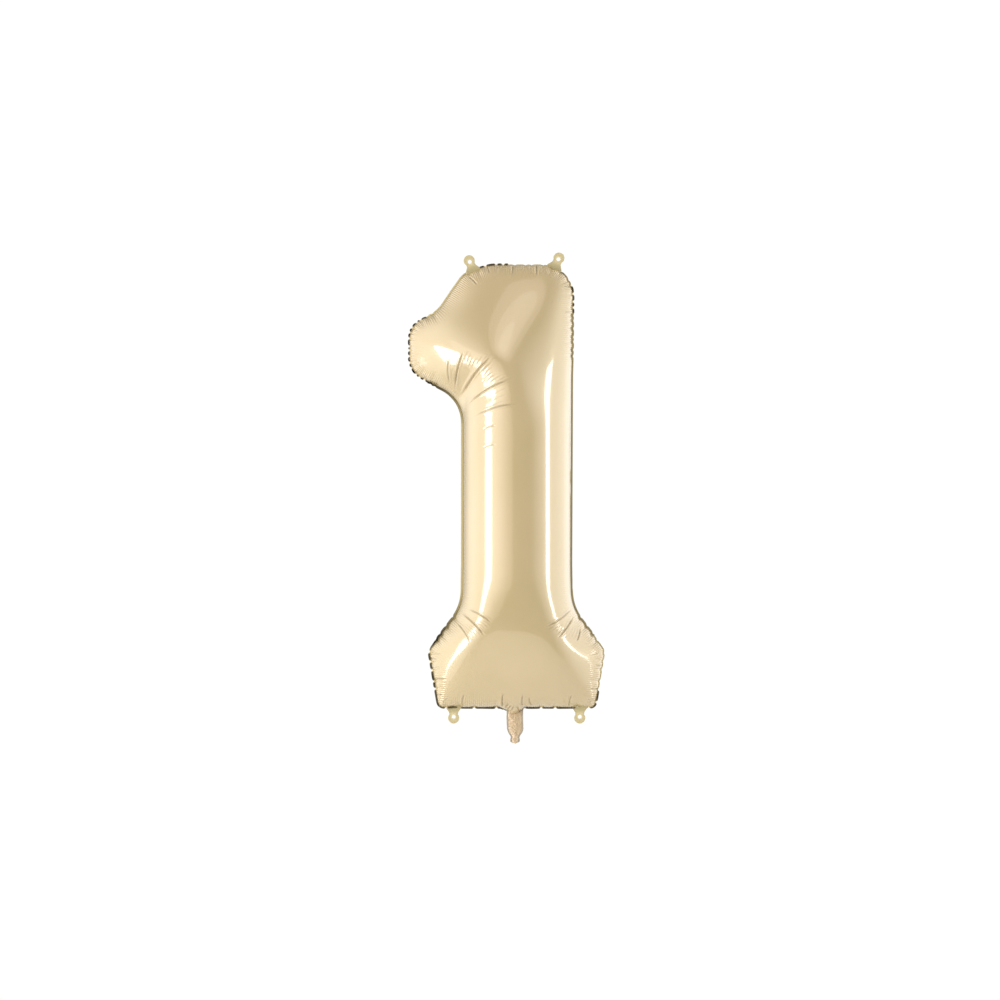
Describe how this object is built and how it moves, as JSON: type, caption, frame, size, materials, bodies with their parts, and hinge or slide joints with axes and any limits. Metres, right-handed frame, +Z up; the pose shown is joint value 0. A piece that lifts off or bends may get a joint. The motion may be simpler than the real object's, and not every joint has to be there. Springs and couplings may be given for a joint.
{
  "type": "foil number balloon",
  "caption": "Inflated foil balloon in the shape of a figure one, with a sealed border, hanging tabs with holes, and a filling tail with a flat self-closing valve.",
  "frame": {"origin": "where the filling tail leaves the bottom seam, in the plane of the seam", "axes": "+Z up the digit from its foot to its head, the front faces -Y, +X to the right as seen from the front, and the seam lies in the plane Y = 0"},
  "size_m": [0.3563, 0.2232, 0.8834],
  "materials": {
    "foil_film": "high-gloss cream lacquer on metallised polyester film",
    "sealed_film": "two plies of film heat-sealed flat, glossy, slightly translucent",
    "tail_film": "soft crumpled film, glossy along the creases",
    "valve_film": "clear polyethylene film"
  },
  "bodies": {
    "shell": {"front_panel": "foil_film", "rear_panel": "foil_film", "seam_border": "sealed_film", "valve_collar": "valve_film"},
    "upper_left_tab": {"upper_left_tab": "sealed_film"},
    "upper_right_tab": {"upper_right_tab": "sealed_film"},
    "lower_left_tab": {"lower_left_tab": "sealed_film"},
    "lower_right_tab": {"lower_right_tab": "sealed_film"},
    "tail": {"tail_front_ply": "tail_film", "tail_rear_ply": "tail_film", "valve_inlet_front_ply": "valve_film", "valve_inlet_rear_ply": "valve_film"},
    "valve_front": {"valve_front_ply": "valve_film"},
    "valve_rear": {"valve_rear_ply": "valve_film"}
  },
  "joints": [
    {"name": "upper_left_tab_fold", "type": "hinge", "parent": "shell", "child": "upper_left_tab", "pos_m": [-0.0768, 0, 0.7921], "axis": [0.9336, 0, 0.3584], "range_deg": [-75, 75], "stiffness_Nm_per_rad": 0.00025},
    {"name": "upper_right_tab_fold", "type": "hinge", "parent": "shell", "child": "upper_right_tab", "pos_m": [0.0724, 0, 0.7973], "axis": [0.9063, 0, -0.4226], "range_deg": [-75, 75], "stiffness_Nm_per_rad": 0.00025},
    {"name": "lower_left_tab_fold", "type": "hinge", "parent": "shell", "child": "lower_left_tab", "pos_m": [-0.1105, 0, -0.0007], "axis": [1, 0, 0], "range_deg": [-75, 75], "stiffness_Nm_per_rad": 0.00025},
    {"name": "lower_right_tab_fold", "type": "hinge", "parent": "shell", "child": "lower_right_tab", "pos_m": [0.1165, 0, -0.0007], "axis": [1, 0, 0], "range_deg": [-75, 75], "stiffness_Nm_per_rad": 0.00025},
    {"name": "tail_fold", "type": "hinge", "parent": "shell", "child": "tail", "pos_m": [0, 0, -0.0008], "axis": [1, 0, 0], "range_deg": [-75, 75]},
    {"name": "valve_front_part", "type": "hinge", "parent": "shell", "child": "valve_front", "pos_m": [0, -0.0002, 0.012], "axis": [1, 0, 0], "range_deg": [0, 5], "stiffness_Nm_per_rad": 0.001},
    {"name": "valve_rear_part", "type": "hinge", "parent": "shell", "child": "valve_rear", "pos_m": [0, 0.0002, 0.012], "axis": [1, 0, 0], "range_deg": [-5, 0], "stiffness_Nm_per_rad": 0.001}
  ],
  "couplings": [
    {"joint": "valve_rear_part", "follows": "valve_front_part", "ratio": -1}
  ]
}
